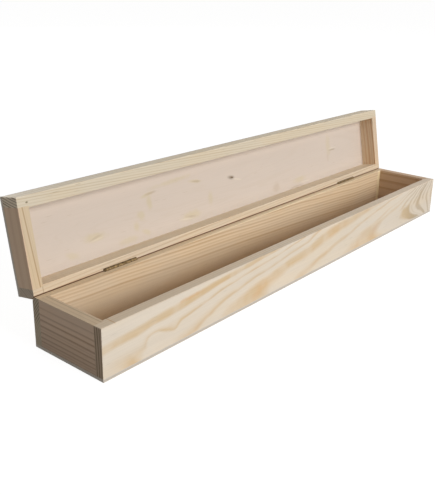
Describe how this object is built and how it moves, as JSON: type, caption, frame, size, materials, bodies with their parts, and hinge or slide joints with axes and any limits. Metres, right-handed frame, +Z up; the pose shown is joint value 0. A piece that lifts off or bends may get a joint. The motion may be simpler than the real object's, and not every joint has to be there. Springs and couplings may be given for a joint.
{
  "type": "hinged wooden box",
  "caption": "Long slim pine box with plywood bottom, lid standing open on two small hinges let into the rear rims; rear bevels stop the lid.",
  "frame": {"origin": "centre of the underside of the base, on the surface it stands on", "axes": "+X along the box to the right as seen from the front, +Y towards the hinges at the back, +Z up"},
  "size_m": [0.75, 0.1547, 0.165],
  "materials": {
    "pine": "planed, unfinished",
    "pine_warm": "planed, unfinished",
    "plywood": "sanded, unfinished",
    "hinge_metal": "dull, dark bronzed",
    "brad_steel": "plain wire"
  },
  "bodies": {
    "base": {"base_front": "pine", "base_back": "pine_warm", "base_left_end": "pine", "base_right_end": "pine", "base_bottom": "plywood", "base_bottom_brads": "brad_steel", "left_hinge_base_leaf": "hinge_metal", "left_hinge_base_brads": "brad_steel", "left_hinge_pin": "hinge_metal", "right_hinge_base_leaf": "hinge_metal", "right_hinge_base_brads": "brad_steel", "right_hinge_pin": "hinge_metal"},
    "lid": {"lid_front_rail": "pine", "lid_back_rail": "pine", "lid_left_end": "pine", "lid_right_end": "pine_warm", "lid_panel": "plywood", "lid_panel_brads": "brad_steel", "left_hinge_lid_leaf": "hinge_metal", "left_hinge_lid_brads": "brad_steel", "right_hinge_lid_leaf": "hinge_metal", "right_hinge_lid_brads": "brad_steel"}
  },
  "joints": [
    {"name": "lid_hinge", "type": "hinge", "parent": "base", "child": "lid", "pos_m": [0, 0.0515, 0.0602], "axis": [1, 0, 0], "range_deg": [0, 100]}
  ]
}
